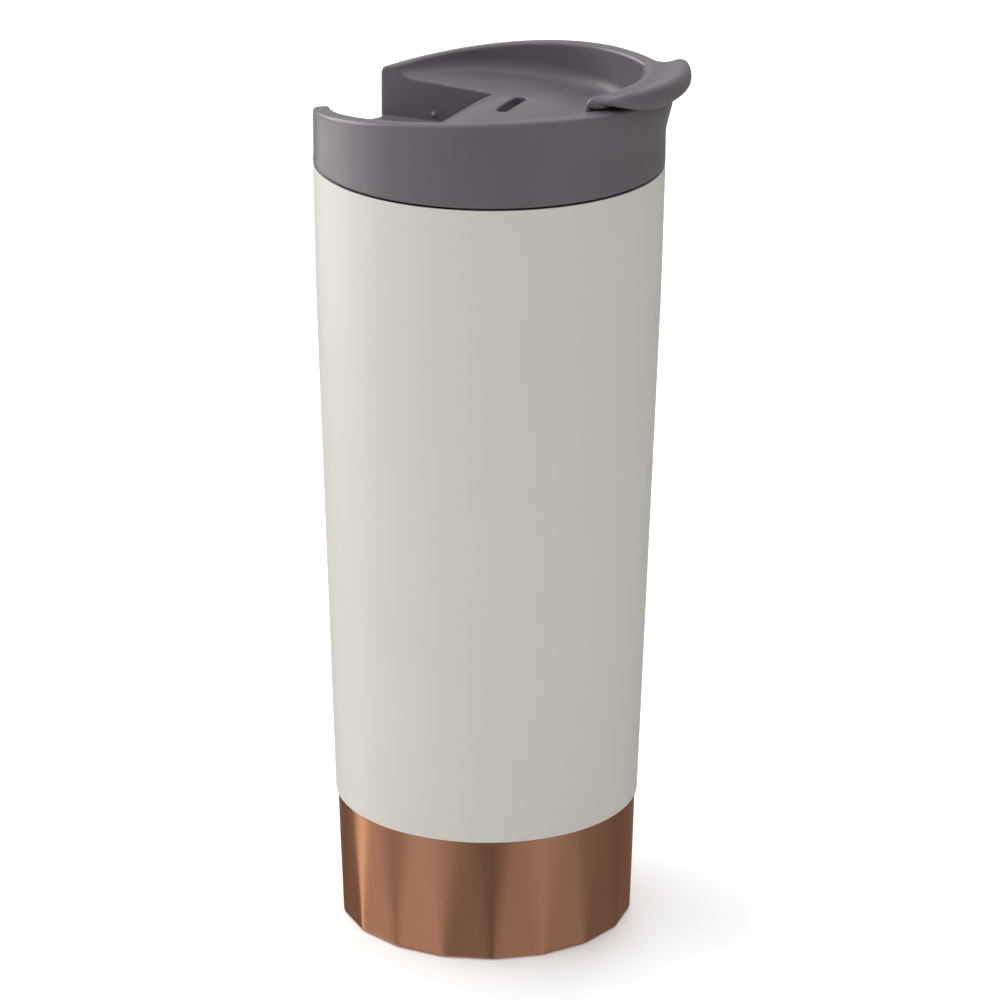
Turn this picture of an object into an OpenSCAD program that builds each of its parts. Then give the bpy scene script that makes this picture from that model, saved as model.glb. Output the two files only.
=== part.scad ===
// Vacuum insulated tumbler with a push-on lid and a flip lever.
// Millimetres. +Z is up, +X points to the drinking spout, and the origin is on
// the table under the centre of the foot pad.

/* [Vessel] */
// Height of the vessel's mouth above the table
mouth_z = 182; // [178:1:190]
// Outer radius of the vessel at its mouth
mouth_r = 39.9; // [39.5:0.1:40]
// Outer radius of the painted wall just above the copper base
waist_r = 35.3; // [35:0.1:35.6]
// Thickness of the steel sheet
sheet_t = 0.5; // [0.4:0.05:0.8]
// Inside radius of the liner at the mouth
liner_mouth_r = 36.1; // [36.1:0.05:36.3]
// Inside radius of the liner at its bottom
liner_foot_r = 30.6; // [29.5:0.1:30.8]
// Height of the liner's floor above the table
liner_floor_z = 10.8; // [10.6:0.1:13]

/* [Copper base] */
// Height of the copper base
base_h = 30; // [28:1:34]
// Number of flats around the base
facets = 18; // [14:1:24]
// Radius of the base over its corners at the table
base_foot_r = 34.2; // [34.1:0.05:34.4]
// Radius of the base at its top edge
base_top_r = 34.8; // [34.7:0.05:34.9]
// Angle of the first flat's centre from the spout
facet_start = 5.5; // [0:0.5:20]
// Height of the silicone foot pad
pad_h = 1.2; // [1:0.1:1.5]

/* [Lid] */
// Height of the rim above the mouth, at the spout
rim_h = 19.8; // [19.6:0.1:20.2]
// Radius of the arc that the rim's top edge follows from spout to notch
rim_arc_r = 305; // [280:5:340]
// Outer radius of the collar
collar_r = 39.65; // [39.5:0.05:39.8]
// Wall thickness of the collar
collar_t = 3.2; // [3.1:0.05:3.3]
// Half width of the lever's channel
channel_y = 18.5; // [18.4:0.05:18.7]
// Height of the channel floor above the mouth
deck_h = 1.5; // [1.4:0.05:1.6]
// Depth of the plug below the mouth
plug_h = 14; // [13:0.5:18]

/* [Flip lever] */
// Half width of the lever
lever_y = 18.1; // [17.8:0.05:18.2]
// Half width of the finger tab at its outer edge
tab_y = 15.5; // [14:0.5:17]
// Height of the lever's crest above the mouth
crest_h = 14; // [13.5:0.1:14.4]
// Hinge axis: distance behind the centre
hinge_x = -21.5; // [-22:0.1:-21.3]
// Hinge axis: height above the mouth
hinge_h = 3.6; // [3.6:0.05:3.9]
// Radius of the steel hinge pin
pin_r = 0.9; // [0.8:0.05:0.9]
// Length of the finger slot in the crest
slot_l = 13; // [9:0.5:15]
// Width of the finger slot
slot_w = 3; // [2:0.1:3.4]
// Depth of the finger slot
slot_d = 2.2; // [2:0.1:3.4]

/* [Hidden] */

$fn = 96;
e = 1;                          // how far a cutter runs past a face

paint = "#dcd9d0";
steel = "#b9bcbf";
copper = "#b5744c";
plastic = "#736a6f";
silicone = "#8d8b8c";

// Vessel
sleeve_r = base_top_r - 1;      // the wall where it is drawn in, inside the base
sleeve_foot_r = 32.95;
wall_foot_z = 5.2;              // lower end of the outer wall
liner_weld_z = 18;              // weld between the liner's wall and its bottom
lip_r = mouth_r - sheet_t - 0.1;
bottom_z = wall_foot_z + 0.2;
dimple_r = 7;
dimple_h = 0.8;
seal_hole_r = 1.5;
getter_x = 18;
getter_r = 3.5;

// Base
cup_floor_z = pad_h;
cup_floor_t = 0.8;
cup_in_r = 33;
pad_r = 26.5;
flat_fade_z = 24;               // where a flat runs out into the round top
flat_foot_r = base_foot_r * cos(180 / facets);
flat_fade_r = base_foot_r + (base_top_r - base_foot_r) * flat_fade_z / base_h;
flat_tilt = atan((flat_fade_r - flat_foot_r) / flat_fade_z);

// Lid, with heights counted from the mouth
seat_gap = 0.1;                 // between the lid's seat and the steel lip
seam_gap = 0.45;                // shadow line under the collar
rim_top_x = 28;                 // where the rim's arc is highest
rim_in_r = collar_r - collar_t;
deck_r = liner_mouth_r - 0.35;
deck_under = -0.6;
shelf_t = 2.2;
wall_t = 2;
shelf_x = -19;                  // the shelf slopes down to the spout through here
shelf_h = 10.9;
shelf_tilt = 3.5;
lip_x = 39.6;                   // where the spout's lip starts to slope down
lip_tilt = 55;                  // slope of the lip under the tab
flare_r = 41.2;                 // the collar at the top of the spout
flare_foot_h = 8;
spout_half_a = 30;              // half angle of the flare
hole_x = 25.5;                  // drink hole: a slot across the spout
hole_w = 8;
hole_l = 16;
vent_x = -2;
vent_r = 2.4;
post_y = [2.6, 4.4];            // hinge posts on the channel floor
knuckle_r = 1.75;
nub_r = 0.6;
nub_h = 3.4;

// Plug
skirt_r = liner_mouth_r - 1.2;
skirt_t = 2.2;
plug_floor_t = 1.6;
groove_low = -10;
groove_h = 4;
groove_d = 1.2;
gasket_r = liner_mouth_r - 0.62;
duct_low = -plug_h + plug_floor_t;
duct_t = 1.2;
vent_in_r = 1.2;

// Lever, with heights counted from the mouth
lever_r = rim_in_r - 0.35;      // the lever stays inside the rim
lever_low = deck_h + 0.35;
foot_x = -20;
ramp_end = [-9.5, 8.4];
crest_x = 5.5;
valley = [26, 11.2];
shell_t = 2;
tab_gap = 0.35;                 // between the tab and the spout's lip
tab_under = rim_h + 0.8;        // underside of the tab over the rim
sag_low = 17.9;                 // lowest point of the tab's outer edge
sag_r = 48;
tab_root_y = lever_y - 0.2;     // half width where the tab leaves the riser
cover_t = 1.6;
crown_r = 100;                  // curve of the crest from side to side
crown_cut = 0.3;                // how far the crown trims the crest
stopper_gap = 0.4;
stopper_low = deck_h - 3;

// ---------------------------------------------------------------- helpers

// Points of an arc in the drawing plane
function arc(c, r, a0, a1, n = 8) =
    [for (i = [0 : n]) let (a = a0 + (a1 - a0) * i / n) c + r * [cos(a), sin(a)]];

// Points of a cubic curve, without its first point
function curve(a, b, c, d, n = 8) =
    [for (i = [1 : n]) let (t = i / n, s = 1 - t)
        a * s * s * s + b * 3 * s * s * t + c * 3 * s * t * t + d * t * t * t];

function wall_r(z) = waist_r + (mouth_r - waist_r) * (z - base_h) / (mouth_z - base_h);

function liner_r(z) =
    liner_foot_r + (liner_mouth_r - liner_foot_r) * (z - liner_weld_z) / (mouth_z - liner_weld_z);

// A profile in X and Z, extruded evenly about Y = 0
module across(width) {
    rotate([90, 0, 0]) linear_extrude(width, center = true) children();
}

// A stadium standing on Z = 0, with its length along Y
module stadium(w, l, h) {
    for (s = [-1, 1]) translate([0, s * (l - w) / 2, 0]) cylinder(h = h, r = w / 2);
    translate([-w / 2, -(l - w) / 2, 0]) cube([w, l - w, h]);
}

module tube(r_out, r_in, h) {
    difference() {
        cylinder(h = h, r = r_out);
        translate([0, 0, -e]) cylinder(h = h + 2 * e, r = r_in);
    }
}

// ----------------------------------------------------------------- vessel

// Painted outer wall, drawn in at the foot to take the copper base
module outer_wall() {
    color(paint) rotate_extrude() polygon([
        [sleeve_foot_r, wall_foot_z],
        [sleeve_r, base_h],
        [waist_r - 0.3, base_h + 0.1],
        [waist_r, base_h + 0.4],
        [wall_r(mouth_z - 0.4), mouth_z - 0.4],
        [mouth_r - 0.35, mouth_z],
        [lip_r, mouth_z],
        [wall_r(mouth_z - 1) - sheet_t, mouth_z - 1],
        [waist_r - sheet_t, base_h + 1],
        [sleeve_r - sheet_t, base_h],
        [sleeve_foot_r - sheet_t, wall_foot_z]
    ]);
}

// Pressed steel bottom of the outer wall, with the evacuation hole in its dimple
module outer_bottom() {
    r = sleeve_foot_r - sheet_t - 0.05;
    z = bottom_z;
    color(steel) rotate_extrude() polygon([
        [seal_hole_r, z + dimple_h],
        [dimple_r, z + dimple_h],
        [dimple_r + 1.4, z],
        [r, z],
        [r, z + sheet_t],
        [dimple_r + 2, z + sheet_t],
        [dimple_r + 0.4, z + dimple_h + sheet_t],
        [seal_hole_r, z + dimple_h + sheet_t]
    ]);
}

// Inner wall that holds the drink, with the lip that is welded to the outer wall
module liner_wall() {
    z0 = liner_weld_z;
    color(steel) rotate_extrude() polygon([
        [liner_r(z0), z0],
        [liner_r(z0) + sheet_t, z0],
        [liner_r(mouth_z - sheet_t) + sheet_t, mouth_z - sheet_t],
        [lip_r - 0.05, mouth_z - sheet_t],
        [lip_r - 0.05, mouth_z],
        [liner_mouth_r + 0.3, mouth_z],
        [liner_mouth_r, mouth_z - 0.3]
    ]);
}

// Pressed bottom of the liner, with a round corner
module liner_bottom() {
    corner = 6;
    r = liner_r(liner_weld_z);
    z = liner_floor_z;
    inner = arc([r - corner, z + corner], corner, 0, -90);
    outer = arc([r - corner, z + corner], corner + sheet_t, -90, 0);
    color(steel) rotate_extrude() polygon(concat(
        [[r, liner_weld_z]],
        inner,
        [[0, z], [0, z - sheet_t]],
        outer,
        [[r + sheet_t, liner_weld_z]]
    ));
}

// Thin copper foil wrapped around the liner inside the vacuum gap
module copper_foil() {
    z0 = 34;
    z1 = mouth_z - 8;
    gap = sheet_t + 0.1;
    foil_t = 0.1;
    color(copper) rotate_extrude() polygon([
        [liner_r(z0) + gap, z0],
        [liner_r(z0) + gap + foil_t, z0],
        [liner_r(z1) + gap + foil_t, z1],
        [liner_r(z1) + gap, z1]
    ]);
}

// Steel clip spot-welded to the bottom, which holds the getter
module getter_clip() {
    plate = 10;
    z = bottom_z + sheet_t;
    color(steel) translate([getter_x, 0, z]) {
        translate([-plate / 2, -plate / 2, 0]) cube([plate, plate, 0.3]);
        translate([0, 0, 0.3]) tube(getter_r + 0.4, getter_r, 2.1);
    }
}

// Getter pellet that keeps the vacuum
module getter_pellet() {
    color("dimgray") translate([getter_x, 0, bottom_z + sheet_t + 0.3])
        cylinder(h = 1.8, r = getter_r);
}

// Solder bead that closes the evacuation hole
module vacuum_seal() {
    z = bottom_z + dimple_h;
    color("silver") {
        translate([0, 0, z]) cylinder(h = sheet_t, r = seal_hole_r);
        translate([0, 0, z - 0.5]) cylinder(h = 0.5, r = 3);
    }
}

// Small disc stuck over the bead to protect it
module seal_cover() {
    color(steel) translate([0, 0, bottom_z - 0.1])
        cylinder(h = 0.4, r = dimple_r - 0.6);
}

// Copper-coloured cup pressed over the foot, with flats that fade out upwards
module base_cup() {
    rim_z = 0.2;
    flat_w = 16;
    color(copper) difference() {
        translate([0, 0, rim_z])
            cylinder(h = base_h - rim_z, r1 = base_foot_r, r2 = base_top_r);
        for (i = [0 : facets - 1])
            rotate([0, 0, facet_start + i * 360 / facets])
            translate([flat_foot_r, 0, 0])
            rotate([0, flat_tilt, 0])
            translate([0, -flat_w / 2, -5])
            cube([8, flat_w, base_h + 5]);
        translate([0, 0, cup_floor_z + cup_floor_t])
            cylinder(h = wall_foot_z - cup_floor_z - cup_floor_t, r = cup_in_r);
        translate([0, 0, wall_foot_z])
            cylinder(h = base_h + e - wall_foot_z, r1 = cup_in_r, r2 = sleeve_r + 0.1);
        translate([0, 0, -e])
            cylinder(h = cup_floor_z + e, r = pad_r + 0.1);
    }
}

// Plastic ring that carries the vessel inside the base
module base_spacer() {
    z0 = cup_floor_z + cup_floor_t;
    color("dimgray") translate([0, 0, z0])
        tube(cup_in_r - 0.2, 22, wall_foot_z - z0);
}

// Silicone disc that the tumbler stands on
module foot_pad() {
    color(silicone) rotate_extrude() polygon([
        [0, 0],
        [pad_r - 0.5, 0],
        [pad_r, 0.5],
        [pad_r, pad_h],
        [0, pad_h]
    ]);
}

// -------------------------------------------------------------------- lid

// Ring of the collar: straight outside, flared out at the spout, with a
// top edge that falls from the spout to the notch along one long arc
module collar_ring() {
    top = rim_h + 1;
    intersection() {
        union() {
            rotate_extrude() polygon([
                [deck_r, seat_gap],
                [collar_r - 0.9, seat_gap],
                [collar_r - 0.9, seam_gap],
                [collar_r, seam_gap],
                [collar_r, top],
                [rim_in_r, top],
                [rim_in_r, deck_under + 1],
                [deck_r, deck_under + 1]
            ]);
            rotate([0, 0, -spout_half_a]) rotate_extrude(angle = 2 * spout_half_a)
                polygon(concat(
                    [[rim_in_r + 1, flare_foot_h]],
                    [[collar_r, flare_foot_h]],
                    curve([collar_r, flare_foot_h], [collar_r, flare_foot_h + 4],
                          [flare_r - 0.6, flare_foot_h + 6], [flare_r, top]),
                    [[rim_in_r + 1, top]]
                ));
        }
        translate([rim_top_x, 0, rim_h - rim_arc_r]) rotate([90, 0, 0])
            cylinder(h = 100, r = rim_arc_r, center = true, $fn = 360);
    }
}

// Space above the shelves, or above a parallel plane at the given gap
module above_shelf(gap) {
    translate([shelf_x, 0, shelf_h]) rotate([0, shelf_tilt, 0])
        translate([-60, -60, gap]) cube([120, 120, 40]);
}

// Sloping shelves on both sides of the channel, and the channel's own walls
module shelves() {
    top = 14;
    intersection() {
        cylinder(h = top, r = rim_in_r + 0.5);
        difference() {
            union() {
                above_shelf(-shelf_t);
                for (s = [-1, 1])
                    translate([-40, s * (channel_y + wall_t / 2) - wall_t / 2, deck_under])
                    cube([80, wall_t, top]);
            }
            above_shelf(0);
        }
    }
}

// Two posts that hold the hinge pin, without their bores
module hinge_posts() {
    for (s = [-1, 1])
        translate([hinge_x, s * (post_y[0] + post_y[1]) / 2, 0])
        across(post_y[1] - post_y[0]) {
            translate([0, hinge_h]) circle(r = knuckle_r);
            translate([-knuckle_r, deck_h - 0.2])
                square([knuckle_r + 1, hinge_h - deck_h + 0.2]);
        }
}

// Space above the sloping lip of the spout, where the tab lies
module above_lip(gap) {
    translate([lip_x, 0, rim_h]) rotate([0, lip_tilt, 0])
        translate([-20, -30, gap]) cube([60, 60, 40]);
}

// Upper moulding of the lid
module lid_shell() {
    color(plastic) translate([0, 0, mouth_z]) difference() {
        union() {
            difference() {
                union() {
                    collar_ring();
                    shelves();
                }
                // Channel from the notch in the rim to the spout's inner wall
                intersection() {
                    translate([-50, -channel_y, deck_h]) cube([100, 2 * channel_y, 30]);
                    union() {
                        translate([-50, -channel_y, deck_h]) cube([50, 2 * channel_y, 30]);
                        translate([0, 0, deck_h]) cylinder(h = 30, r = rim_in_r);
                    }
                }
                above_lip(0);
            }
            translate([0, 0, deck_under]) cylinder(h = deck_h - deck_under, r = deck_r);
            hinge_posts();
            // Small nubs on the channel walls beside the lever's foot
            for (s = [-1, 1])
                translate([hinge_x, s * channel_y, nub_h]) rotate([90, 0, 0])
                cylinder(h = 1.2, r = nub_r, center = true);
        }
        translate([hinge_x, 0, hinge_h]) rotate([90, 0, 0])
            cylinder(h = 4 * post_y[1], r = pin_r, center = true);
        translate([hole_x, 0, deck_under - e]) stadium(hole_w, hole_l, 4);
        translate([vent_x, 0, deck_under - e]) cylinder(h = 4, r = vent_r);
    }
}

// Lower moulding of the lid: a cup whose floor has the drink hole and the vent
module lid_plug() {
    color(plastic) translate([0, 0, mouth_z]) difference() {
        rotate_extrude() polygon([
            [0, -plug_h],
            [skirt_r - 1, -plug_h],
            [skirt_r, -plug_h + 1],
            [skirt_r, groove_low],
            [skirt_r - groove_d, groove_low],
            [skirt_r - groove_d, groove_low + groove_h],
            [skirt_r, groove_low + groove_h],
            [skirt_r, deck_under],
            [skirt_r - skirt_t, deck_under],
            [skirt_r - skirt_t, duct_low],
            [0, duct_low]
        ]);
        translate([hole_x, 0, -plug_h - e]) stadium(hole_w, hole_l, plug_floor_t + 2 * e);
        translate([vent_x, 0, -plug_h - e]) cylinder(h = plug_floor_t + 2 * e, r = vent_in_r);
    }
}

// Duct for the drink, welded between the plug's floor and the lid's deck
module spout_duct() {
    color(plastic) translate([hole_x, 0, mouth_z + duct_low]) difference() {
        stadium(hole_w + 2 * duct_t, hole_l + 2 * duct_t, deck_under - duct_low);
        translate([0, 0, -e]) stadium(hole_w, hole_l, deck_under - duct_low + 2 * e);
    }
}

// Tube that lets air in through the vent
module vent_tube() {
    color(plastic) translate([vent_x, 0, mouth_z + duct_low])
        tube(vent_in_r + duct_t, vent_in_r, deck_under - duct_low);
}

// Silicone ring with two lips that seals the plug in the liner
module plug_gasket() {
    r0 = skirt_r - groove_d;
    lip = gasket_r;
    z = groove_low;
    color(silicone) translate([0, 0, mouth_z]) rotate_extrude() polygon([
        [r0, z],
        [skirt_r, z],
        [lip, z + 0.7],
        [lip, z + 1.2],
        [skirt_r, z + 1.6],
        [skirt_r, z + 2.4],
        [lip, z + 2.9],
        [lip, z + 3.4],
        [skirt_r, z + groove_h],
        [r0, z + groove_h]
    ]);
}

// Steel pin through the posts and the lever's knuckle
module hinge_pin() {
    color(steel) translate([hinge_x, 0, mouth_z + hinge_h]) rotate([90, 0, 0])
        cylinder(h = 2 * post_y[1], r = pin_r, center = true);
}

// ------------------------------------------------------------------ lever

// Outline of the lever from the side: ramp, crest and dished front
module lever_outline(drop = 0) {
    polygon(concat(
        [[foot_x + 2.4 * drop, lever_low],
         ramp_end + [drop * 0.8, -drop]],
        curve(ramp_end + [drop * 0.8, -drop], [-4, 11.9 - drop],
              [0, crest_h - drop], [crest_x, crest_h - drop]),
        curve([crest_x, crest_h - drop], [13, crest_h - drop],
              [19, valley[1] - drop], valley - [0, drop]),
        [[40, valley[1] - drop - 1], [40, lever_low]]
    ));
}

// Section of the riser and the finger tab, through the spout
module tab_section() {
    polygon(concat(
        [[valley[0] - 1, valley[1] - shell_t], valley - [0, 0.5]],
        curve(valley - [0, 0.5], [31.5, valley[1] - 0.4], [33.9, 15], [34.6, 20.3]),
        curve([34.6, 20.3], [34.9, 22.4], [35.8, 23.2], [37.5, 23.2]),
        curve([37.5, 23.2], [40, 23.1], [41, 23.2], [43.4, 24.1]),
        curve([43.4, 24.1], [45, 24.6], [46.1, 23.4], [46.1, 21.4]),
        curve([46.1, 21.4], [46.1, 19.8], [44.6, 18.9], [42.6, 18.2]),
        [[40, 17.2], [39, 17.2], [39, tab_under]],
        [[lever_r, tab_under], [lever_r, valley[1] - shell_t]]
    ));
}

// Plan of the riser and the tab, which narrows towards its outer edge
module tab_plan() {
    polygon([
        [0, -tab_root_y],
        [35, -tab_root_y],
        [45, -tab_y],
        [60, -tab_y],
        [60, tab_y],
        [45, tab_y],
        [35, tab_root_y],
        [0, tab_root_y]
    ]);
}

// Upper shell of the lever: ramp, crest with its slot, riser and finger tab
module lever_shell() {
    tab_a = 46;
    boss_t = 1.2;
    post_room = post_y[1] - post_y[0] + 0.4;
    color(plastic) translate([0, 0, mouth_z]) difference() {
        union() {
            // Ramp, crest and front, crowned from side to side
            intersection() {
                across(2 * lever_y) lever_outline();
                cylinder(h = 30, r = lever_r - 0.2);
                translate([-30, 0, crest_h - crown_cut - crown_r]) rotate([0, 90, 0])
                    cylinder(h = 80, r = crown_r, $fn = 360);
            }
            // Riser inside the rim, and the tab over it
            intersection() {
                rotate([0, 0, -tab_a]) rotate_extrude(angle = 2 * tab_a) tab_section();
                linear_extrude(40) tab_plan();
                union() {
                    above_lip(tab_gap);
                    cylinder(h = 30, r = 38.5);
                    translate([-60, -60, tab_under - 0.05]) cube([120, 120, 20]);
                }
                // The tab's outer edge hangs lowest at its middle
                union() {
                    translate([30, 0, sag_low + sag_r]) rotate([0, 90, 0])
                        cylinder(h = 40, r = sag_r, $fn = 360);
                    cylinder(h = 30, r = 38.5);
                }
            }
            // Knuckle between the hinge posts
            translate([hinge_x, 0, 0]) across(2 * post_y[0] - 0.4) {
                translate([0, hinge_h]) circle(r = knuckle_r);
                polygon([
                    [0, hinge_h - knuckle_r],
                    [5, lever_low],
                    [5, lever_low + 2.4],
                    [0.6, hinge_h + knuckle_r - 0.1]
                ]);
            }
        }
        // Pocket that the cover closes from below, with a boss left under the slot
        difference() {
            intersection() {
                across(2 * (lever_y - shell_t)) lever_outline(shell_t);
                translate([-11, -30, 0]) cube([60, 60, 40]);
                cylinder(h = 30, r = lever_r - shell_t);
                translate([-30, 0, crest_h - shell_t - crown_cut - crown_r]) rotate([0, 90, 0])
                    cylinder(h = 80, r = crown_r, $fn = 360);
            }
            translate([crest_x, 0, crest_h - slot_d - boss_t])
                stadium(slot_w + 2 * boss_t, slot_l + 2 * boss_t, slot_d);
        }
        // Finger slot in the crest
        translate([crest_x, 0, crest_h - slot_d]) stadium(slot_w, slot_l, slot_d + e);
        // Room for the hinge posts
        for (s = [-1, 1])
            translate([-30, s * (post_y[0] + post_y[1]) / 2 - post_room / 2, 0])
            cube([30 + foot_x + 1.8, post_room, 10]);
        translate([hinge_x, 0, hinge_h]) rotate([90, 0, 0])
            cylinder(h = 20, r = pin_r + 0.05, center = true);
    }
}

// Plate that closes the lever from below, with holes for the two stoppers
module lever_cover() {
    front_r = lever_r - shell_t - 0.1;
    half = lever_y - shell_t - 0.1;
    color(plastic) translate([0, 0, mouth_z + lever_low]) difference() {
        intersection() {
            translate([-10.6, -half, 0]) cube([50, 2 * half, cover_t]);
            cylinder(h = cover_t, r = front_r);
        }
        translate([hole_x, 0, -e]) stadium(hole_w - 4, hole_l - 4, cover_t + 2 * e);
        translate([vent_x, 0, -e]) cylinder(h = cover_t + 2 * e, r = vent_r - 1.2);
    }
}

// Silicone stopper that closes the drink hole
module spout_stopper() {
    w = hole_w - 2 * stopper_gap;
    l = hole_l - 2 * stopper_gap;
    color(silicone) translate([hole_x, 0, mouth_z]) {
        translate([0, 0, stopper_low]) stadium(w, l, lever_low - stopper_low);
        translate([0, 0, lever_low]) stadium(hole_w - 4, hole_l - 4, cover_t);
        translate([0, 0, lever_low + cover_t]) stadium(hole_w - 2.5, hole_l - 2.5, 0.8);
    }
}

// Silicone stopper that closes the vent
module vent_stopper() {
    color(silicone) translate([vent_x, 0, mouth_z]) {
        translate([0, 0, deck_h - 1.2])
            cylinder(h = lever_low - deck_h + 1.2, r = vent_r - stopper_gap);
        translate([0, 0, lever_low]) cylinder(h = cover_t, r = vent_r - 1.2);
        translate([0, 0, lever_low + cover_t]) cylinder(h = 0.7, r = vent_r - 0.5);
    }
}

outer_wall();
outer_bottom();
liner_wall();
liner_bottom();
copper_foil();
getter_clip();
getter_pellet();
vacuum_seal();
seal_cover();
base_cup();
base_spacer();
foot_pad();
lid_shell();
lid_plug();
spout_duct();
vent_tube();
plug_gasket();
hinge_pin();
lever_shell();
lever_cover();
spout_stopper();
vent_stopper();
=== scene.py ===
"""Looks of the vacuum insulated tumbler: fine meshes, materials, light and camera.

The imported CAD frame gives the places. Sizes are in millimetres, counted from the
table, or from the vessel's mouth for the lid and the lever. The meshes are made in
millimetres and scaled to metres last.
"""
import math

import bmesh
import bpy
import numpy as np
from mathutils import Matrix, Vector


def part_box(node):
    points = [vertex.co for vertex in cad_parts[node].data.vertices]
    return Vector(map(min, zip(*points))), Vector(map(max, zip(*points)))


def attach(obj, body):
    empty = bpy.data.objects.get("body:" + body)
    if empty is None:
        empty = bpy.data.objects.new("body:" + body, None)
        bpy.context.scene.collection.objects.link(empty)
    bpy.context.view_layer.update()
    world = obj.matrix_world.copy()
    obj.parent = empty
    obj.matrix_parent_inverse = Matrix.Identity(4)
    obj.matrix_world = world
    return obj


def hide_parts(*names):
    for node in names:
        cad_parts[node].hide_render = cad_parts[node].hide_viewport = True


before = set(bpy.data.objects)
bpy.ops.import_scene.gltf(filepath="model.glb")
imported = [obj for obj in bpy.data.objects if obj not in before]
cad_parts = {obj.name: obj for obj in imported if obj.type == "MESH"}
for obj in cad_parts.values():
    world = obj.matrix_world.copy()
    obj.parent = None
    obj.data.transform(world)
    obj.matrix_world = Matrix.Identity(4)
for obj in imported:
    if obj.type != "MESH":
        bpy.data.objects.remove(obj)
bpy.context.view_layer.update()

MM = 0.001


def cad_box(node):
    """Lowest and highest corner of a CAD node, in millimetres."""
    low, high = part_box(node)
    return np.array(low) / MM, np.array(high) / MM


# ------------------------------------------------------------------ sizes

wall_low, wall_high = cad_box("outer_wall")
lid_low, lid_high = cad_box("lid_shell")
base_low, base_high = cad_box("base_cup")
plug_low, plug_high = cad_box("lid_plug")
gasket_low, gasket_high = cad_box("plug_gasket")
cover_low, cover_high = cad_box("lever_cover")
stopper_low, stopper_high = cad_box("spout_stopper")
vent_low, vent_high = cad_box("vent_stopper")
pin_low, pin_high = cad_box("hinge_pin")
liner_low = cad_box("liner_wall")[0]
pan_low = cad_box("liner_bottom")[0]
pad_high = cad_box("foot_pad")[1]
tab_high = cad_box("lever_shell")[1]

MOUTH_Z = wall_high[2]
MOUTH_R = wall_high[1]
BASE_H = base_high[2]
SHEET = 0.5                    # steel sheet
WAIST_R = 35.3                 # painted wall just above the base
EASE_DOWN = 30                 # the taper eases off this far below the mouth
EASE_R = 0.2                   # and by this much

# Lid: collar, rim, channel and dished shelf
COLLAR_R = lid_high[1]
RIM_H = lid_high[2] - MOUTH_Z  # rim at the spout
RIM_IN_R = COLLAR_R - 3.2
RIM_ARC_R = 305                # the rim's top edge falls along this arc to the notch
RIM_TOP_X = 28                 # where that arc would be highest
FLARE = 1.7                    # the collar widens this much under the tab
FLARE_LOW, FLARE_HIGH = 7, 17  # heights between which it widens
FLARE_FULL, FLARE_END = 20, 60      # degrees from the spout between which it dies out
SEAM_GAP = 0.38                # shadow line under the collar
SEAT_GAP = 0.1                 # between the mouth and the lid's seat on it
SEAT_R = COLLAR_R - 0.9
DECK_R = 35.75                 # the deck stands just inside the mouth
DECK_H = 1.5                   # floor of the lever's channel
DECK_UNDER = lid_low[2] - MOUTH_Z
CHANNEL_Y = 18.5               # half width of the channel
LIP_X = 39.6                   # the spout's lip slopes down from here
LIP_TILT = math.radians(55)
SHELF_X = -19                  # here the dished shelf is SHELF_H high
SHELF_H = 10.9
SHELF_SLOPE = 0.06             # it falls towards the spout
SHELF_BEND_X = -5              # and a little faster from here
SHELF_BEND = 0.0004
SHELF_FILLET = 4
NUB_R = 0.6                    # small nubs on the channel's walls
NUB_H = 3.4

# Plug
SKIRT_T = 2.2
PLUG_FLOOR_T = 1.6
GROOVE_D = 1.2

# Hinge
HINGE_X = (pin_low[0] + pin_high[0]) / 2
HINGE_H = (pin_low[2] + pin_high[2]) / 2 - MOUTH_Z
PIN_R = (pin_high[0] - pin_low[0]) / 2
PIN_PLAY = 0.05
BORE_HALF = 6                  # the bore is cut this far to each side
KNUCKLE_R = 1.75
POST_Y = 3.5                   # middle of a hinge post
POST_HALF = 0.9
POST_PLAY = 0.2
POST_BACK = 0.4                # a post's foot stands this far behind the pin
POST_FOOT_HALF = 1.4
ARM_L = 5                      # from the pin to where the knuckle joins the lever

# Drink hole and vent
HOLE_X = (stopper_low[0] + stopper_high[0]) / 2
HOLE_W = 8
HOLE_L = 16
HOLE_TOP = 3                   # the holes are cut up to here
VENT_X = (vent_low[0] + vent_high[0]) / 2
VENT_R = 2.4
VENT_TUBE_R = 1.2
NECK_IN = 2                    # the stopper's neck is this much inside the drink hole

# Lever
LEVER_Y = tab_high[1]
LEVER_LOW = cover_low[2] - MOUTH_Z
LEVER_R = RIM_IN_R - 0.35
FOOT_X = -20
RAMP_SLOPE = 0.66
CREST_X = 5.5
CREST_H = 14
CREST_BACK = 0.008             # how fast the crest falls off towards the ramp
FRONT_X = 8                    # the dished front starts here
VALLEY_X = 26
VALLEY_H = 11.2
CROWN = 2.0                    # the crest's sides are this much lower than its middle
CROWN_FADE = 0.7               # the dished front is flatter by this share
CROWN_FULL_X, CROWN_END_X = 14, 27
SHELL = 2
HOLLOW_X = -11                 # the hollow under the lever starts here
SLOT_W = 3
SLOT_L = 13
SLOT_D = 2.2
BOSS_T = 1.2                   # wall round the slot
ROOM_X = -18.2                 # the hinge posts need room up to here
ROOM_H = 10

# Finger tab
TAB_START_X = 18
TAB_ROOT_Y = LEVER_Y - 0.2     # half width of the tab where it leaves the riser
TAB_Y = 15.5                   # and at its outer edge
TAB_TAPER_X = 35               # it narrows from here
TAB_TAPER_L = 10
TAB_DRAW = 1.3                 # its outer edge is drawn back this much
TAB_DRAW_ANGLE = 21            # at this many degrees from its middle
TAB_UNDER = RIM_H + 0.45       # underside of the tab over the rim
LIP_GAP = 0.35                 # between the tab and the spout's lip
SAG_LOW = 17.9                 # the tab's underside sags to here at its middle
SAG_R = 48
SAG_IN_R = 38.5                # only past this radius

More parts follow.
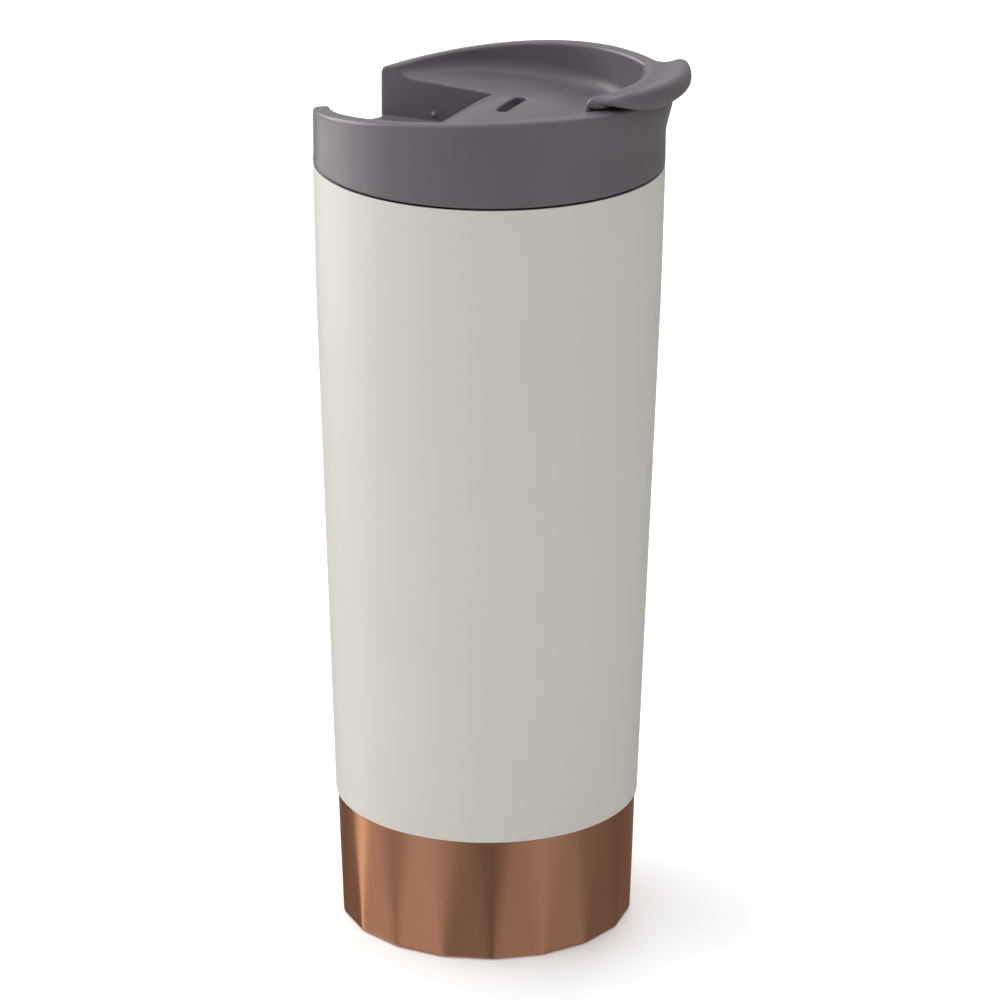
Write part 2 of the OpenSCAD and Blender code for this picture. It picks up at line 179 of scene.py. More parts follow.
# Copper base
FACETS = 18
FACET_START = 5.5              # degrees from the spout to the first flat's middle
BASE_FOOT_R = 34.2
BASE_TOP_R = 34.8
BASE_IN_R = 33.0
BASE_FLOOR_T = 0.8
FLAT_FADE_Z = 24               # a flat runs out into the round top here

# Grid steps of the meshes made from fields
LID_STEP = 0.45
PLUG_STEP = 0.6
LEVER_STEP = 0.34
COVER_STEP = 0.4
SPOUT_SEAL_STEP = 0.3
VENT_SEAL_STEP = 0.25


# ---------------------------------------------------------- mesh building

def ramp(value, start, end):
    """0 before start, 1 after end, smooth between."""
    t = np.clip((value - start) / (end - start), 0, 1)
    return t * t * (3 - 2 * t)


def smooth_max(a, b, k):
    """The larger of two fields, with the crease between them rounded over k."""
    h = np.maximum(k - np.abs(a - b), 0) / k
    return np.maximum(a, b) + h * h * k / 4


def smooth_min(a, b, k):
    """The smaller of two fields, rounded the same way."""
    return -smooth_max(-a, -b, k)


def largest(*fields):
    """What all the fields have in common, with sharp edges."""
    out = fields[0]
    for field in fields[1:]:
        out = np.maximum(out, field)
    return out


def stadium(x, y, width, length):
    """Distance to a slot shape centred on 0, long across Y."""
    straight = (length - width) / 2
    return np.hypot(x, np.maximum(np.abs(y) - straight, 0)) - width / 2


def polygon_distance(points, u, v):
    """Signed distance to a closed polygon, negative inside."""
    nearest = np.full(u.shape, np.inf)
    inside = np.zeros(u.shape, bool)
    for (au, av), (bu, bv) in zip(points, points[1:] + points[:1]):
        eu, ev = bu - au, bv - av
        wu, wv = u - au, v - av
        t = np.clip((wu * eu + wv * ev) / (eu * eu + ev * ev), 0, 1)
        nearest = np.minimum(nearest, (wu - eu * t) ** 2 + (wv - ev * t) ** 2)
        if ev != 0:
            inside ^= ((av > v) != (bv > v)) & (u < au + wv * eu / ev)
    return np.where(inside, -1, 1) * np.sqrt(nearest)


def curve(a, b, c, d, steps=8):
    """Points of a cubic curve, without its first point."""
    a, b, c, d = (np.array(p, float) for p in (a, b, c, d))
    points = []
    for i in range(1, steps + 1):
        t = i / steps
        s = 1 - t
        p = a * s ** 3 + b * 3 * s * s * t + c * 3 * s * t * t + d * t ** 3
        points.append(tuple(p))
    return points


def surface_net(field, low, high, step):
    """Quads on the surface where field(x, y, z) is zero; it is negative inside."""
    counts = [int(math.ceil((b - a) / step)) + 1 for a, b in zip(low, high)]
    axes = [a + step * np.arange(n) for a, n in zip(low, counts)]
    value = field(*np.meshgrid(*axes, indexing="ij"))
    inside = value < 0
    cells = [n - 1 for n in counts]
    corners = [(i, j, k) for i in (0, 1) for j in (0, 1) for k in (0, 1)]
    filled = np.zeros(cells, np.int8)
    for corner in corners:
        filled += inside[tuple(slice(c, c + n) for c, n in zip(corner, cells))]
    active = (filled > 0) & (filled < len(corners))
    cell_id = np.full(cells, -1)
    cell_id[active] = np.arange(active.sum())
    where = np.argwhere(active)
    total = np.zeros(where.shape)
    hits = np.zeros((len(where), 1))
    for corner in corners:
        for axis in range(3):
            if corner[axis]:
                continue
            along = np.eye(3, dtype=int)[axis]
            a = value[tuple((where + corner).T)]
            b = value[tuple((where + corner + along).T)]
            crossed = (a < 0) != (b < 0)
            t = a / np.where(crossed, a - b, 1)
            point = where + corner + t[:, None] * along
            total += np.where(crossed[:, None], point, 0)
            hits += crossed[:, None]
    verts = np.array(low) + step * total / hits
    quads = []
    for axis in range(3):
        u, v = (axis + 1) % 3, (axis + 2) % 3
        edge = np.argwhere(np.diff(inside, axis=axis))
        kept = (edge[:, u] > 0) & (edge[:, v] > 0)
        kept &= (edge[:, u] < cells[u]) & (edge[:, v] < cells[v])
        edge = edge[kept]
        ring = []
        for du, dv in ((1, 1), (0, 1), (0, 0), (1, 0)):
            cell = edge.copy()
            cell[:, u] -= du
            cell[:, v] -= dv
            ring.append(cell_id[tuple(cell.T)])
        quad = np.stack(ring, axis=1)
        flipped = ~inside[tuple(edge.T)]
        quad[flipped] = quad[flipped][:, ::-1]
        quads.append(quad)
    return verts, np.concatenate(quads)


def onto_surface(field, verts, reach):
    """Moves each point along the field's slope to where the field is zero."""
    h = 0.02                   # how far to each side the slope is taken
    least_slope = 0.25         # squared, so that a flat spot doesn't send a point far
    value = field(*verts.T)
    slope = np.stack([
        (field(*(verts + h * d).T) - field(*(verts - h * d).T)) / (2 * h)
        for d in np.eye(3)
    ], axis=1)
    steep = np.maximum((slope ** 2).sum(axis=1), least_slope)
    move = (value / steep)[:, None] * slope
    size = np.linalg.norm(move, axis=1, keepdims=True)
    return verts - move * np.minimum(1, reach / np.maximum(size, 1e-9))


def relaxed(verts, quads):
    """Each point half way to the mean of its neighbours."""
    a = quads.ravel()
    b = np.roll(quads, -1, axis=1).ravel()
    count = np.bincount(np.concatenate([a, b]), minlength=len(verts))
    mean = np.empty_like(verts)
    for axis in range(3):
        given = np.concatenate([verts[b, axis], verts[a, axis]])
        total = np.bincount(np.concatenate([a, b]), given, len(verts))
        mean[:, axis] = total / count
    return (verts + mean) / 2


def mesh_from_field(field, low, high, step, rounds=3):
    """An even mesh of the field's surface: relaxed and put back on it a few times."""
    verts, quads = surface_net(field, low, high, step)
    for _ in range(rounds):
        verts = relaxed(verts, quads)
        verts = onto_surface(field, verts, step)
    verts = onto_surface(field, verts, step)
    return verts, quads


def rounded(points, radius, steps=5):
    """The closed outline with every corner turned into an arc. radius is one number, or
    a list with one for each corner, where 0 leaves a corner sharp."""
    out = []
    pts = [np.array(p, float) for p in points]
    radii = radius if isinstance(radius, (list, tuple)) else [radius] * len(pts)
    for i, p in enumerate(pts):
        if radii[i] == 0:
            out.append(tuple(p))
            continue
        a = pts[i - 1] - p
        b = pts[(i + 1) % len(pts)] - p
        room = min(np.linalg.norm(a), np.linalg.norm(b)) * 0.49
        a, b = a / np.linalg.norm(a), b / np.linalg.norm(b)
        half = math.acos(np.clip(a @ b, -1, 1)) / 2
        reach = min(radii[i] / math.tan(half), room)
        r = reach * math.tan(half)
        centre = p + (a + b) / np.linalg.norm(a + b) * r / math.sin(half)
        start = p + a * reach - centre
        turn = math.pi - 2 * half
        side = math.copysign(1, a[0] * b[1] - a[1] * b[0])
        for k in range(steps + 1):
            angle = -side * turn * k / steps
            c, s = math.cos(angle), math.sin(angle)
            out.append((centre[0] + c * start[0] - s * start[1],
                        centre[1] + s * start[0] + c * start[1]))
    return out


def revolved(rings, segments, start=0.0):
    """A closed mesh through rings of (radius or radii, height), listed anticlockwise."""
    angles = np.radians(start) + 2 * np.pi * np.arange(segments) / segments
    verts = []
    for r, z in rings:
        r = np.broadcast_to(r, angles.shape)
        verts.append(np.stack([r * np.cos(angles), r * np.sin(angles),
                               np.full(angles.shape, float(z))], axis=1))
    i, j = np.meshgrid(np.arange(len(rings)), np.arange(segments), indexing="ij")
    i2, j2 = (i + 1) % len(rings), (j + 1) % segments
    quads = np.stack([i * segments + j, i * segments + j2,
                      i2 * segments + j2, i2 * segments + j], axis=-1)
    return np.concatenate(verts), quads.reshape(-1, 4)


def piece(name, shape, lift, body, slot, material, *nodes):
    """Makes the object, puts it on its body and hides the CAD nodes it stands for."""
    verts, quads = shape
    place = (verts + np.array([0, 0, lift])) * MM
    mesh = bpy.data.meshes.new(name)
    mesh.from_pydata(place.tolist(), [], quads.tolist())
    bm = bmesh.new()
    bm.from_mesh(mesh)
    bmesh.ops.remove_doubles(bm, verts=bm.verts, dist=1e-7)
    bm.to_mesh(mesh)
    bm.free()
    mesh.polygons.foreach_set("use_smooth", np.ones(len(mesh.polygons), bool))
    mesh.materials.append(material)
    obj = bpy.data.objects.new(name, mesh)
    bpy.context.scene.collection.objects.link(obj)
    normals = obj.modifiers.new("even_normals", "WEIGHTED_NORMAL")
    normals.keep_sharp = True
    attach(obj, body)
    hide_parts(*nodes)
    return obj


# -------------------------------------------------------------- materials

MIX_FIRST, MIX_SECOND = 6, 7   # colour inputs of a mix node
MIX_RESULT = 2                 # and its colour output


def surface(name, tones, roughness, cloud, grain, depth, stretch=(1, 1, 1), metallic=0.0,
            specular=0.5, edge_tint=None):
    """A procedural finish. tones and roughness are pairs that a soft cloud pattern blends
    between; cloud and grain are pattern sizes and depth is the grain's height, in mm."""
    mat = bpy.data.materials.new(name)
    mat.use_nodes = True
    nodes, links = mat.node_tree.nodes, mat.node_tree.links
    shader = nodes["Principled BSDF"]
    shader.inputs["Metallic"].default_value = metallic
    if edge_tint:
        shader.inputs["Specular Tint"].default_value = (*edge_tint, 1)
    shader.inputs["Specular IOR Level"].default_value = specular
    place = nodes.new("ShaderNodeTexCoord")
    stretched = nodes.new("ShaderNodeMapping")
    stretched.inputs["Scale"].default_value = stretch
    links.new(place.outputs["Object"], stretched.inputs["Vector"])

    def noise(size, detail):
        made = nodes.new("ShaderNodeTexNoise")
        made.inputs["Scale"].default_value = 1 / (size * MM)
        made.inputs["Detail"].default_value = detail
        links.new(stretched.outputs["Vector"], made.inputs["Vector"])
        return made.outputs["Fac"]

    clouds = noise(cloud, 3)
    mix = nodes.new("ShaderNodeMix")
    mix.data_type = "RGBA"
    for socket, tone in zip((mix.inputs[MIX_FIRST], mix.inputs[MIX_SECOND]), tones):
        socket.default_value = (*tone, 1)
    links.new(clouds, mix.inputs[0])
    links.new(mix.outputs[MIX_RESULT], shader.inputs["Base Color"])
    rough = nodes.new("ShaderNodeMapRange")
    rough.inputs["From Min"].default_value = 0.3
    rough.inputs["From Max"].default_value = 0.7
    rough.inputs["To Min"].default_value = roughness[0]
    rough.inputs["To Max"].default_value = roughness[1]
    links.new(clouds, rough.inputs["Value"])
    links.new(rough.outputs["Result"], shader.inputs["Roughness"])
    bump = nodes.new("ShaderNodeBump")
    bump.inputs["Strength"].default_value = 1.0
    bump.inputs["Distance"].default_value = depth * MM
    links.new(noise(grain, 2), bump.inputs["Height"])
    links.new(bump.outputs["Normal"], shader.inputs["Normal"])
    return mat


paint = surface("powder_coat", [(0.69, 0.66, 0.60), (0.72, 0.69, 0.63)], (0.36, 0.44),
                cloud=30, grain=1.1, depth=0.012, specular=0.4)
plastic = surface("moulded_lid", [(0.130, 0.112, 0.129), (0.144, 0.124, 0.143)],
                  (0.30, 0.38), cloud=12, grain=0.35, depth=0.006, specular=0.6)
inner_plastic = surface("moulded_inner", [(0.15, 0.13, 0.145), (0.165, 0.143, 0.158)],
                        (0.45, 0.55), cloud=9, grain=0.4, depth=0.01)
copper = surface("copper_plating", [(0.60, 0.285, 0.165), (0.66, 0.325, 0.195)], (0.15, 0.21),
                 cloud=6, grain=0.8, depth=0.003, stretch=(1, 1, 0.15), metallic=1.0,
                 edge_tint=(0.85, 0.65, 0.55))
steel = surface("brushed_steel", [(0.58, 0.575, 0.57), (0.66, 0.655, 0.65)], (0.26, 0.38),
                cloud=1.6, grain=0.9, depth=0.004, stretch=(0.04, 0.04, 3), metallic=1.0)
foil = surface("thin_foil", [(0.72, 0.40, 0.26), (0.80, 0.46, 0.31)], (0.12, 0.25),
               cloud=5, grain=3, depth=0.08, metallic=1.0)
silicone = surface("soft_silicone", [(0.27, 0.255, 0.26), (0.31, 0.295, 0.30)],
                   (0.55, 0.68), cloud=5, grain=0.5, depth=0.015)
dark_plastic = surface("spacer_ring", [(0.05, 0.05, 0.05), (0.07, 0.07, 0.07)],
                       (0.5, 0.6), cloud=4, grain=0.5, depth=0.02)
sintered = surface("sintered_getter", [(0.14, 0.14, 0.14), (0.24, 0.23, 0.22)],
                   (0.6, 0.8), cloud=0.6, grain=0.25, depth=0.05, metallic=0.6)
solder = surface("glass_bead", [(0.20, 0.19, 0.17), (0.28, 0.27, 0.25)], (0.1, 0.25),
                 cloud=1.2, grain=0.8, depth=0.05)


# ---------------------------------------------------------------- vessel

def wall_r(z):
    """Radius of the painted wall's plain taper."""
    return WAIST_R + (MOUTH_R - WAIST_R) * (z - BASE_H) / (MOUTH_Z - BASE_H)


def build_vessel():
    foot_r, foot_z, neck_r = BASE_IN_R - 0.05, wall_low[2], BASE_TOP_R - 1
    shoulder_z = MOUTH_Z - EASE_DOWN
    # The large radius is the soft bend where the taper eases off
    outer = rounded([
        (foot_r, foot_z), (neck_r, BASE_H), (WAIST_R, BASE_H + 0.05),
        (wall_r(shoulder_z) + EASE_R, shoulder_z),
        (MOUTH_R - EASE_R, MOUTH_Z), (MOUTH_R - SHEET - 0.1, MOUTH_Z),
        (wall_r(MOUTH_Z - 1) - SHEET, MOUTH_Z - 1), (WAIST_R - SHEET, BASE_H + 1),
        (neck_r - SHEET, BASE_H), (foot_r - SHEET, foot_z)
    ], [0.1, 0.1, 0.35, 900, 0.3, 0, 0.2, 0.4, 0.2, 0.1])
    piece("painted_wall", revolved(outer, 288), 0, "vessel", "white_paint", paint,
          "outer_wall")

    weld_z = liner_low[2]
    lip_r = MOUTH_R - SHEET - 0.15
    bore_top, bore_foot = 36.1, 30.6
    wall = rounded([
        (bore_foot, weld_z), (bore_foot + SHEET, weld_z),
        (bore_top + SHEET, MOUTH_Z - SHEET), (lip_r, MOUTH_Z - SHEET),
        (lip_r, MOUTH_Z), (bore_top, MOUTH_Z)
    ], [0, 0, 0.3, 0, 0.1, 0.35])
    piece("steel_liner", revolved(wall, 256), 0, "vessel", "bare_steel", steel, "liner_wall")

    floor_z = pan_low[2]
    pan = rounded([
        (0, floor_z), (bore_foot + SHEET, floor_z), (bore_foot + SHEET, weld_z),
        (bore_foot, weld_z), (bore_foot, floor_z + SHEET), (0, floor_z + SHEET)
    ], [0, 6 + SHEET, 0, 0, 6, 0], steps=10)
    piece("liner_pan", revolved(pan, 256), 0, "vessel", "bare_steel", steel, "liner_bottom")

    pad_r = pad_high[1]
    pad = rounded([
        (0, 0), (pad_r, 0), (pad_r, pad_high[2]), (0, pad_high[2])
    ], [0, 0.5, 0.1, 0])
    piece("rubber_foot", revolved(pad, 192), 0, "vessel", "silicone", silicone, "foot_pad")


def base_radius(z, angles):
    """Radius of the copper base: flats low down that fade into a round top."""
    pitch = 360 / FACETS
    flat_foot = BASE_FOOT_R * math.cos(math.pi / FACETS)
    fade_r = BASE_FOOT_R + (BASE_TOP_R - BASE_FOOT_R) * FLAT_FADE_Z / BASE_H
    flat = flat_foot + (fade_r - flat_foot) * z / FLAT_FADE_Z
    cone = BASE_FOOT_R + (BASE_TOP_R - BASE_FOOT_R) * z / BASE_H
    off = (angles + pitch / 2) % pitch - pitch / 2
    nearest = flat / np.cos(np.radians(off))
    beside = flat / np.cos(np.radians(pitch - np.abs(off)))
    soft = 0.25
    return smooth_min(smooth_min(nearest, beside, soft), np.full(off.shape, cone), soft)


def build_base():
    segments = 720
    angles = 360 * np.arange(segments) / segments
    rim_z, floor_low, floor_high = base_low[2], pad_high[2], pad_high[2] + BASE_FLOOR_T
    edge, top_edge = 0.6, 0.2       # rounding of the bottom and the top edge
    rows = 40
    pad_hole = pad_high[1] + 0.1
    rings = [(0.0, floor_low), (pad_hole, floor_low), (pad_hole, rim_z)]
    for k in range(5):
        turn = math.pi / 2 * k / 4
        z = rim_z + edge * (1 - math.cos(turn))
        rings.append((base_radius(z, angles) - edge * (1 - math.sin(turn)), z))
    for z in np.linspace(rim_z + edge, BASE_H - top_edge, rows)[1:-1]:
        rings.append((base_radius(z, angles), z))
    for k in range(5):
        turn = math.pi / 2 * k / 4
        z = BASE_H - top_edge * (1 - math.sin(turn))
        rings.append((base_radius(z, angles) - top_edge * (1 - math.cos(turn)), z))
    rings += [(BASE_TOP_R - 0.9, BASE_H), (BASE_IN_R, wall_low[2]), (BASE_IN_R, floor_high),
              (0.0, floor_high)]
    piece("copper_base", revolved(rings, segments, FACET_START), 0, "vessel",
          "copper_plate", copper, "base_cup")


# ------------------------------------------------------------------- lid

def lid_field(x, y, z):
    """Collar, shelves, channel and hinge posts; the smoothing numbers are edge rounding."""
    r = np.hypot(x, y)
    angle = np.degrees(np.abs(np.arctan2(y, x)))
    flare = FLARE * ramp(z, FLARE_LOW, FLARE_HIGH) * (1 - ramp(angle, FLARE_FULL, FLARE_END))
    fall = (RIM_TOP_X - x) ** 2 / (2 * RIM_ARC_R)
    body = smooth_max(r - COLLAR_R - flare, z - RIM_H + fall, 0.9)
    body = smooth_max(body, SEAM_GAP - z, 0.5)
    # Dished shelf with a fillet up to the rim
    bend = SHELF_BEND * np.maximum(x - SHELF_BEND_X, 0) ** 2
    dish = SHELF_H - SHELF_SLOPE * (x - SHELF_X) - bend
    body = smooth_max(body, -smooth_max(r - RIM_IN_R, dish - z, SHELF_FILLET), 0.7)
    lip = (x - LIP_X) * math.sin(LIP_TILT) + (z - RIM_H) * math.cos(LIP_TILT)
    body = smooth_max(body, lip, 0.8)
    channel = largest(np.abs(y) - CHANNEL_Y, DECK_H - z, np.minimum(r - RIM_IN_R, x))
    body = smooth_max(body, -channel, 0.4)
    seat = largest(r - SEAT_R, SEAT_GAP - z, z - DECK_H + 0.3)
    deck = largest(r - DECK_R, DECK_UNDER - z, z - DECK_H)
    body = np.minimum(np.minimum(body, seat), deck)
    # Hinge posts, and the small nubs on the channel's walls
    eye = np.hypot(x - HINGE_X, z - HINGE_H)
    foot = largest(np.abs(x - HINGE_X + POST_BACK) - POST_FOOT_HALF, DECK_H - 0.5 - z,
                   z - HINGE_H)
    post = np.maximum(np.minimum(eye - KNUCKLE_R, foot), np.abs(np.abs(y) - POST_Y) - POST_HALF)
    body = smooth_min(body, post, 0.5)
    nub = np.sqrt((x - HINGE_X) ** 2 + (np.abs(y) - CHANNEL_Y) ** 2 + (z - NUB_H) ** 2)
    nub -= NUB_R
    body = smooth_min(body, nub, 0.3)
    body = np.maximum(body, -np.maximum(eye - PIN_R - PIN_PLAY, np.abs(y) - BORE_HALF))
    for hole in (stadium(x - HOLE_X, y, HOLE_W, HOLE_L), np.hypot(x - VENT_X, y) - VENT_R):
        body = smooth_max(body, -np.maximum(hole, z - HOLE_TOP), 0.5)
    return body


def plug_field(x, y, z):
    """The lid's lower part: a cup with a groove for the gasket and two holes."""
    r = np.hypot(x, y)
    skirt_r = plug_high[1]
    low, high = plug_low[2] - MOUTH_Z, plug_high[2] - MOUTH_Z
    groove_low, groove_high = gasket_low[2] - MOUTH_Z, gasket_high[2] - MOUTH_Z
    body = smooth_max(r - skirt_r, low - z, 1.6)
    body = np.maximum(body, z - high)
    groove = largest(skirt_r - GROOVE_D - r, groove_low - z, z - groove_high)
    body = np.maximum(body, -groove)
    inside = smooth_max(r - skirt_r + SKIRT_T, low + PLUG_FLOOR_T - z, 1.5)
    body = smooth_max(body, -inside, 0.4)
    vent = np.hypot(x - VENT_X, y) - VENT_TUBE_R
    for hole in (stadium(x - HOLE_X, y, HOLE_W, HOLE_L), vent):
        body = smooth_max(body, -hole, 0.5)
    return body


def build_lid():
    reach = COLLAR_R + FLARE + 1.2
    shape = mesh_from_field(lid_field, (-reach, -reach, DECK_UNDER - 1.1),
                            (reach, reach, RIM_H + 1.3), LID_STEP)
    piece("lid_body", shape, MOUTH_Z, "lid", "lid_plastic", plastic, "lid_shell")
    reach = plug_high[1] + 1.5
    shape = mesh_from_field(plug_field, (-reach, -reach, plug_low[2] - MOUTH_Z - 1.4),
                            (reach, reach, plug_high[2] - MOUTH_Z + 1.4), PLUG_STEP)
    piece("lid_lower", shape, MOUTH_Z, "lid", "plug_plastic", inner_plastic, "lid_plug")

    low, root = gasket_low[2] - MOUTH_Z, plug_high[1] - GROOVE_D
    edge, lip = plug_high[1], gasket_high[1]
    # Two sealing lips that stand out from the ring
    ring = rounded([
        (root, low), (edge, low), (lip, low + 0.7), (lip, low + 1.2), (edge, low + 1.6),
        (edge, low + 2.4), (lip, low + 2.9), (lip, low + 3.4), (edge, low + 4),
        (root, low + 4)
    ], [0, 0.2, 0.25, 0.25, 0.2, 0.2, 0.25, 0.25, 0.2, 0], steps=4)
    piece("plug_seal", revolved(ring, 256), MOUTH_Z, "lid", "silicone", silicone,
          "plug_gasket")


# ----------------------------------------------------------------- lever

def lever_top(x, y):
    """Height of the lever's upper face: ramp, crowned crest and dished front."""
    slope = LEVER_LOW + RAMP_SLOPE * (x - FOOT_X)
    back = CREST_BACK * np.maximum(CREST_X - x, 0) ** 2
    front = (CREST_H - VALLEY_H) * ramp(x, FRONT_X, VALLEY_X)
    fade = 1 - CROWN_FADE * ramp(x, CROWN_FULL_X, CROWN_END_X)
    crown = CROWN / LEVER_Y ** 2 * fade
    return smooth_min(slope, CREST_H - back - front - crown * y * y, 2.5)


# Outline of the riser and the finger tab: distance from the middle, and height
TAB_SECTION = (
    [(VALLEY_X - 1, VALLEY_H - SHELL), (VALLEY_X, VALLEY_H - 0.5)]
    + curve((VALLEY_X, VALLEY_H - 0.5), (31.5, VALLEY_H - 0.4), (33.9, 15), (34.6, 20.3))
    + curve((34.6, 20.3), (34.9, 22.1), (35.8, 22.9), (37.4, 22.8), 5)
    + curve((37.4, 22.8), (39.6, 22.5), (41, 22.6), (43.2, 23.9), 6)
    + curve((43.2, 23.9), (44.9, 24.8), (46.1, 23.6), (46.1, 21.4), 6)
    + curve((46.1, 21.4), (46.1, 19.8), (44.6, 18.9), (42.6, 18.2), 5)
    + [(40, 17.2), (LEVER_R, 17.2), (LEVER_R, VALLEY_H - SHELL)]
)


def lever_field(x, y, z):
    """The lever's shell; the smoothing numbers are edge rounding."""
    r = np.hypot(x, y)
    top = lever_top(x, y)
    body = smooth_max(z - top, np.maximum(r - LEVER_R + 0.2, np.abs(y) - LEVER_Y), 0.9)
    # Riser and finger tab: one section swept round the rim, drawn back at its ends
    angle = np.degrees(np.abs(np.arctan2(y, x)))
    swept = r + TAB_DRAW * (angle / TAB_DRAW_ANGLE) ** 2 * ramp(r, 34, 44)
    taper = (TAB_ROOT_Y - TAB_Y) * np.clip((x - TAB_TAPER_X) / TAB_TAPER_L, 0, 1)
    side = np.abs(y) - TAB_ROOT_Y + taper
    tab = smooth_max(polygon_distance(TAB_SECTION, swept, z), side, 1.6)
    lip = (x - LIP_X) * math.sin(LIP_TILT) + (z - RIM_H) * math.cos(LIP_TILT)
    over_rim = np.minimum(swept - LEVER_R, TAB_UNDER - z)
    sag = np.minimum(np.hypot(y, z - SAG_LOW - SAG_R) - SAG_R, r - SAG_IN_R)
    tab = smooth_max(tab, sag, 0.8)
    tab = smooth_max(tab, np.minimum(LIP_GAP - lip, over_rim), 0.3)
    tab = np.maximum(tab, TAB_START_X - x)
    body = smooth_max(smooth_min(body, tab, 2.0), np.abs(y) - LEVER_Y, 0.3)
    # Hollow that the cover closes, with a boss under the slot
    hollow = largest(np.abs(y) - LEVER_Y + SHELL, HOLLOW_X - x, r - LEVER_R + SHELL,
                     z - top + SHELL)
    boss = stadium(x - CREST_X, y, SLOT_W + 2 * BOSS_T, SLOT_L + 2 * BOSS_T)
    boss = np.maximum(boss, CREST_H - SLOT_D - BOSS_T - z)
    body = np.maximum(body, -np.maximum(hollow, -boss))
    slot = np.maximum(stadium(x - CREST_X, y, SLOT_W, SLOT_L), CREST_H - SLOT_D - z)
    body = smooth_max(body, -slot, 0.5)
    room = largest(np.abs(np.abs(y) - POST_Y) - POST_HALF - POST_PLAY, x - ROOM_X,
                   z - ROOM_H)
    body = np.maximum(body, -room)
    # Knuckle between the hinge posts
    t = np.clip((x - HINGE_X) / ARM_L, 0, 1)
    arm = np.hypot(x - HINGE_X - ARM_L * t, z - HINGE_H) - KNUCKLE_R
    arm = np.maximum(arm, np.abs(y) - POST_Y + POST_HALF + POST_PLAY)
    body = smooth_min(body, arm, 0.4)
    bore = np.hypot(x - HINGE_X, z - HINGE_H) - PIN_R - PIN_PLAY
    bore = np.maximum(bore, np.abs(y) - BORE_HALF)
    return largest(body, LEVER_LOW - z, -bore)


def cover_field(x, y, z):
    """The plate that closes the lever, with a hole for each stopper's neck."""
    half = cover_high[1]
    low, high = cover_low[2] - MOUTH_Z, cover_high[2] - MOUTH_Z
    side = smooth_max(np.abs(y) - half, np.hypot(x, y) - cover_high[0], 2)
    body = smooth_max(np.maximum(side, cover_low[0] - x), np.maximum(low - z, z - high), 0.5)
    neck = stadium(x - HOLE_X, y, HOLE_W - 2 * NECK_IN, HOLE_L - 2 * NECK_IN)
    for hole in (neck, np.hypot(x - VENT_X, y) - VENT_TUBE_R):
        body = np.maximum(body, -hole)
    return body


def stopper_field(outline, neck, head, low, seat, top):
    """A soft stopper: the outline below the seat, a neck in the cover and a head above.
    neck and head are how much narrower than the outline they are, all round."""
    cover_top = cover_high[2] - MOUTH_Z
    neck_low, neck_high = seat - 0.3, cover_top + 0.2

    def field(x, y, z):
        edge = outline(x, y)
        foot = smooth_max(edge, np.maximum(low - z, z - seat), 0.9)
        stem = largest(edge + neck, neck_low - z, z - neck_high)
        knob = smooth_max(edge + head, np.maximum(cover_top - z, z - top), 0.4)
        return np.minimum(np.minimum(foot, stem), knob)

    return field


def build_lever():
    low = (FOOT_X - 4.6, -LEVER_Y - 1.33, LEVER_LOW - 1.17)
    high = (tab_high[0] + 1.2, LEVER_Y + 1.2, tab_high[2] - MOUTH_Z + 1.2)
    shape = mesh_from_field(lever_field, low, high, LEVER_STEP)
    piece("flip_lever", shape, MOUTH_Z, "lever", "lid_plastic", plastic, "lever_shell")
    lift = np.array([0, 0, MOUTH_Z])
    shape = mesh_from_field(cover_field, cover_low - lift - 1, cover_high - lift + 1,
                            COVER_STEP)
    piece("lever_plate", shape, MOUTH_Z, "lever", "plug_plastic", inner_plastic,
          "lever_cover")
    wide = stopper_high - stopper_low
    spout = stopper_field(lambda x, y: stadium(x - HOLE_X, y, wide[0], wide[1]),
                          neck=1.6, head=0.85, low=stopper_low[2] - MOUTH_Z,
                          seat=LEVER_LOW, top=stopper_high[2] - MOUTH_Z)
    shape = mesh_from_field(spout, stopper_low - lift - 0.9, stopper_high - lift + 0.9,
                            SPOUT_SEAL_STEP)
    piece("spout_seal", shape, MOUTH_Z, "lever", "silicone", silicone, "spout_stopper")
    vent_r = (vent_high[0] - vent_low[0]) / 2
    vent = stopper_field(lambda x, y: np.hypot(x - VENT_X, y) - vent_r,
                         neck=0.8, head=0.1, low=vent_low[2] - MOUTH_Z,
                         seat=LEVER_LOW, top=vent_high[2] - MOUTH_Z)
    shape = mesh_from_field(vent, vent_low - lift - 0.75, vent_high - lift + 0.75,
                            VENT_SEAL_STEP)
    piece("vent_seal", shape, MOUTH_Z, "lever", "silicone", silicone, "vent_stopper")


build_vessel()
build_base()
build_lid()
build_lever()

# CAD nodes that stay, with the material that each gets
CARRIED = {
    "outer_bottom": steel, "copper_foil": foil, "getter_clip": steel,
    "getter_pellet": sintered, "vacuum_seal": solder, "seal_cover": steel,
    "base_spacer": dark_plastic, "hinge_pin": steel, "spout_duct": inner_plastic,
    "vent_tube": inner_plastic,
}
for node, material in CARRIED.items():
    for material_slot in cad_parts[node].material_slots:
        material_slot.material = material


# ------------------------------------------------------- floor, light, camera

FLOOR_R = 4                    # metres
FLOOR_GLOW = 0.2


